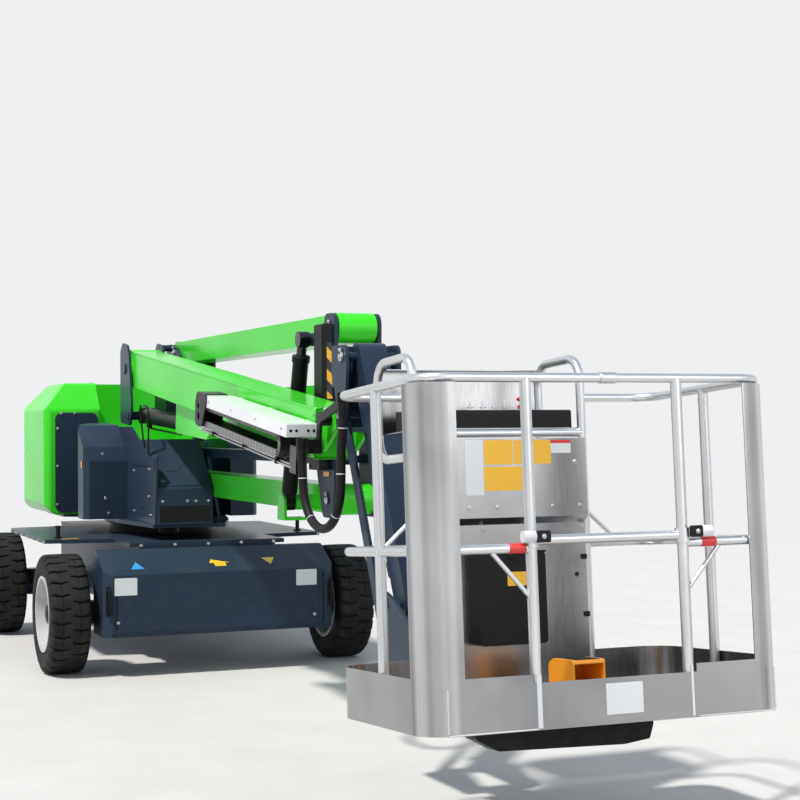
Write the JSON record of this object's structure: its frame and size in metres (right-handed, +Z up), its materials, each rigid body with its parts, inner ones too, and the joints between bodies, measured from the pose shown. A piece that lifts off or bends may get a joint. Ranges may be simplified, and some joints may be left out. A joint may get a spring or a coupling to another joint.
{
  "type": "articulating boom lift",
  "caption": "Self-propelled access machine: wheeled chassis, slewing turntable, folding riser, telescopic boom, jib and railed platform with sliding gate bar.",
  "frame": {"origin": "on the ground, under the middle of the parked machine's box", "axes": "+X from the counterweight towards the platform, +Y to the machine's left, +Z up"},
  "size_m": [7.7033, 2.015, 2.044],
  "materials": {
    "tyre": "matte moulded rubber",
    "rim": "silver gloss paint",
    "slate_paint": "dark blue-grey semi-gloss paint",
    "green_paint": "bright green gloss paint",
    "green_hood": "bright green gloss paint",
    "iron": "painted casting",
    "black_paint": "black semi-gloss paint",
    "chrome": "polished hard chrome",
    "white_cover": "pale grey satin paint",
    "chain_plastic": "moulded links",
    "steel": "bright steel",
    "hose_rubber": "braided sleeve",
    "aluminium": "satin mill finish",
    "black_plastic": "textured housing",
    "yellow_plastic": "amber yellow paint"
  },
  "bodies": {
    "chassis": {"chassis_frame": "slate_paint", "deck": "slate_paint", "front_beam_cover": "slate_paint", "front_axle": "slate_paint", "rear_axle": "slate_paint", "slew_ring_lower": "black_paint"},
    "wheel_front_left": {"tyre_front_left": "tyre", "rim_front_left": "rim"},
    "wheel_front_right": {"tyre_front_right": "tyre", "rim_front_right": "rim"},
    "steering_knuckle_left": {"knuckle_left": "slate_paint"},
    "steering_knuckle_right": {"knuckle_right": "slate_paint"},
    "wheel_rear_left": {"tyre_rear_left": "tyre", "rim_rear_left": "rim"},
    "wheel_rear_right": {"tyre_rear_right": "tyre", "rim_rear_right": "rim"},
    "tie_rod": {"tie_rod": "black_paint"},
    "turntable": {"turret_base": "slate_paint", "slew_ring_upper": "black_paint", "turret_front_cover": "slate_paint", "turret_side_plate": "slate_paint", "turret_side_boxes": "slate_paint", "hood": "green_hood", "hood_front_panel": "slate_paint", "counterweight": "iron", "power_pack": "iron"},
    "lower_arm": {"lower_arm": "green_paint"},
    "lower_link": {"lower_link": "slate_paint"},
    "mid_link": {"mid_link": "slate_paint"},
    "upper_arm": {"upper_arm": "green_paint"},
    "upper_link": {"upper_link": "green_paint"},
    "riser_barrel": {"riser_cylinder_barrel": "black_paint"},
    "riser_rod": {"riser_cylinder_rod": "chrome"},
    "boom_knuckle": {"knuckle": "slate_paint"},
    "boom": {"boom": "green_paint", "chain_cover": "white_cover", "energy_chain": "chain_plastic", "chain_end_bracket": "black_paint"},
    "fly": {"fly_boom": "green_paint", "push_rod": "steel", "hose_bracket": "black_paint", "hose": "hose_rubber"},
    "boom_barrel": {"boom_cylinder_barrel": "black_paint"},
    "boom_rod": {"boom_cylinder_rod": "chrome"},
    "jib_head": {"jib_head": "slate_paint"},
    "jib": {"jib_arm": "slate_paint"},
    "jib_links": {"jib_links": "slate_paint"},
    "jib_barrel": {"jib_cylinder_barrel": "black_paint"},
    "jib_rod": {"jib_cylinder_rod": "chrome"},
    "carrier": {"platform_carrier": "slate_paint"},
    "platform": {"platform_floor": "aluminium", "platform_sheets": "aluminium", "platform_rails": "aluminium", "console_panel": "aluminium", "console_cover": "aluminium", "console_boxes": "black_plastic", "foot_switch": "yellow_plastic", "floor_bumper": "black_paint"},
    "gate_bar": {"gate_bar": "aluminium"}
  },
  "joints": [
    {"name": "spin_front_left", "type": "hinge", "parent": "chassis", "child": "wheel_front_left", "pos_m": [-1.32034, 0.8875, 0.356], "axis": [0, 1, 0], "continuous": true},
    {"name": "spin_front_right", "type": "hinge", "parent": "chassis", "child": "wheel_front_right", "pos_m": [-1.32034, -0.8875, 0.356], "axis": [0, 1, 0], "continuous": true},
    {"name": "spin_rear_left", "type": "hinge", "parent": "steering_knuckle_left", "child": "wheel_rear_left", "pos_m": [-3.49534, 0.8875, 0.356], "axis": [0, 1, 0], "continuous": true},
    {"name": "spin_rear_right", "type": "hinge", "parent": "steering_knuckle_right", "child": "wheel_rear_right", "pos_m": [-3.49534, -0.8875, 0.356], "axis": [0, 1, 0], "continuous": true},
    {"name": "steer_left", "type": "hinge", "parent": "chassis", "child": "steering_knuckle_left", "pos_m": [-3.49534, 0.6725, 0.356], "axis": [0, 0, 1], "range_deg": [-30, 30]},
    {"name": "steer_right", "type": "hinge", "parent": "chassis", "child": "steering_knuckle_right", "pos_m": [-3.49534, -0.6725, 0.356], "axis": [0, 0, 1], "range_deg": [-30, 30]},
    {"name": "tie_rod_pin", "type": "hinge", "parent": "steering_knuckle_left", "child": "tie_rod", "pos_m": [-3.30534, 0.6725, 0.356], "axis": [0, 0, 1], "range_deg": [-30, 30]},
    {"name": "slew", "type": "hinge", "parent": "chassis", "child": "turntable", "pos_m": [-2.40784, 0, 0.845], "axis": [0, 0, 1], "range_deg": [-177, 177]},
    {"name": "riser_lift", "type": "hinge", "parent": "turntable", "child": "lower_arm", "pos_m": [-2.27034, 0.165, 1.104], "axis": [0, -1, 0], "range_deg": [0, 65]},
    {"name": "lower_link_pin", "type": "hinge", "parent": "turntable", "child": "lower_link", "pos_m": [-2.37034, 0.165, 1.304], "axis": [0, -1, 0], "range_deg": [0, 65]},
    {"name": "mid_link_pin", "type": "hinge", "parent": "lower_arm", "child": "mid_link", "pos_m": [0.82966, 0.165, 1.104], "axis": [0, -1, 0], "range_deg": [-65, 0]},
    {"name": "upper_arm_pin", "type": "hinge", "parent": "mid_link", "child": "upper_arm", "pos_m": [0.87966, 0.165, 1.966], "axis": [0, -1, 0], "range_deg": [-65, 0]},
    {"name": "upper_link_pin", "type": "hinge", "parent": "mid_link", "child": "upper_link", "pos_m": [0.77966, 0.165, 1.64], "axis": [0, -1, 0], "range_deg": [-65, 0]},
    {"name": "knuckle_pin", "type": "hinge", "parent": "upper_arm", "child": "boom_knuckle", "pos_m": [-2.22034, 0.165, 1.966], "axis": [0, -1, 0], "range_deg": [0, 65]},
    {"name": "riser_barrel_pin", "type": "hinge", "parent": "lower_arm", "child": "riser_barrel", "pos_m": [0.39966, -0.022, 1.075], "axis": [0, -1, 0], "range_deg": [-47.5, 0]},
    {"name": "riser_rod_slide", "type": "slide", "parent": "riser_barrel", "child": "riser_rod", "axis": [0.2735, 0, 0.9619], "range_m": [0, 0.3401]},
    {"name": "boom_lift", "type": "hinge", "parent": "boom_knuckle", "child": "boom", "pos_m": [-2.17034, -0.175, 1.855], "axis": [0, -1, 0], "range_deg": [0, 75]},
    {"name": "boom_barrel_pin", "type": "hinge", "parent": "boom_knuckle", "child": "boom_barrel", "pos_m": [-2.08034, -0.175, 1.545], "axis": [0, -1, 0], "range_deg": [0, 70.07]},
    {"name": "boom_rod_slide", "type": "slide", "parent": "boom_barrel", "child": "boom_rod", "axis": [0.9988, 0, -0.0495], "range_m": [0, 0.3782]},
    {"name": "telescope", "type": "slide", "parent": "boom", "child": "fly", "axis": [0.9937, 0, -0.1123], "range_m": [0, 2.3]},
    {"name": "head_level", "type": "hinge", "parent": "fly", "child": "jib_head", "pos_m": [1.71344, -0.175, 1.50953], "axis": [0, -1, 0], "range_deg": [-75, 0]},
    {"name": "jib_lift", "type": "hinge", "parent": "jib_head", "child": "jib", "pos_m": [1.90966, -0.15, 1.78], "axis": [0, -1, 0], "range_deg": [0, 120]},
    {"name": "jib_link_pin", "type": "hinge", "parent": "jib_head", "child": "jib_links", "pos_m": [1.87966, -0.15, 1.53], "axis": [0, -1, 0], "range_deg": [0, 120]},
    {"name": "jib_barrel_pin", "type": "hinge", "parent": "jib_head", "child": "jib_barrel", "pos_m": [1.87966, -0.15, 1.53], "axis": [0, -1, 0], "range_deg": [0, 117.89]},
    {"name": "jib_rod_slide", "type": "slide", "parent": "jib_barrel", "child": "jib_rod", "axis": [0.4823, 0, -0.876], "range_m": [0, 0.4349]},
    {"name": "carrier_level", "type": "hinge", "parent": "jib", "child": "carrier", "pos_m": [2.41379, -0.15, 0.74639], "axis": [0, -1, 0], "range_deg": [-120, 0]},
    {"name": "platform_swing", "type": "hinge", "parent": "carrier", "child": "platform", "pos_m": [2.89766, -0.15, 0.428], "axis": [-0.0698, 0, 0.9976], "range_deg": [-80, 80]},
    {"name": "gate_slide", "type": "slide", "parent": "platform", "child": "gate_bar", "axis": [-0.0698, 0, 0.9976], "range_m": [0, 0.4875]}
  ],
  "couplings": [
    {"joint": "steer_right", "follows": "steer_left", "ratio": 1},
    {"joint": "tie_rod_pin", "follows": "steer_left", "ratio": -1},
    {"joint": "lower_link_pin", "follows": "riser_lift", "ratio": 1},
    {"joint": "mid_link_pin", "follows": "riser_lift", "ratio": -1},
    {"joint": "upper_arm_pin", "follows": "riser_lift", "ratio": -1},
    {"joint": "upper_link_pin", "follows": "riser_lift", "ratio": -1},
    {"joint": "knuckle_pin", "follows": "riser_lift", "ratio": 1},
    {"joint": "riser_barrel_pin", "follows": "riser_lift", "ratio": -0.73077},
    {"joint": "riser_rod_slide", "follows": "riser_lift", "m_per_rad": 0.2997},
    {"joint": "boom_barrel_pin", "follows": "boom_lift", "ratio": 0.93428},
    {"joint": "boom_rod_slide", "follows": "boom_lift", "m_per_rad": 0.28886},
    {"joint": "head_level", "follows": "boom_lift", "ratio": -1},
    {"joint": "jib_link_pin", "follows": "jib_lift", "ratio": 1},
    {"joint": "jib_barrel_pin", "follows": "jib_lift", "ratio": 0.98245},
    {"joint": "jib_rod_slide", "follows": "jib_lift", "m_per_rad": 0.20759},
    {"joint": "carrier_level", "follows": "jib_lift", "ratio": -1}
  ]
}
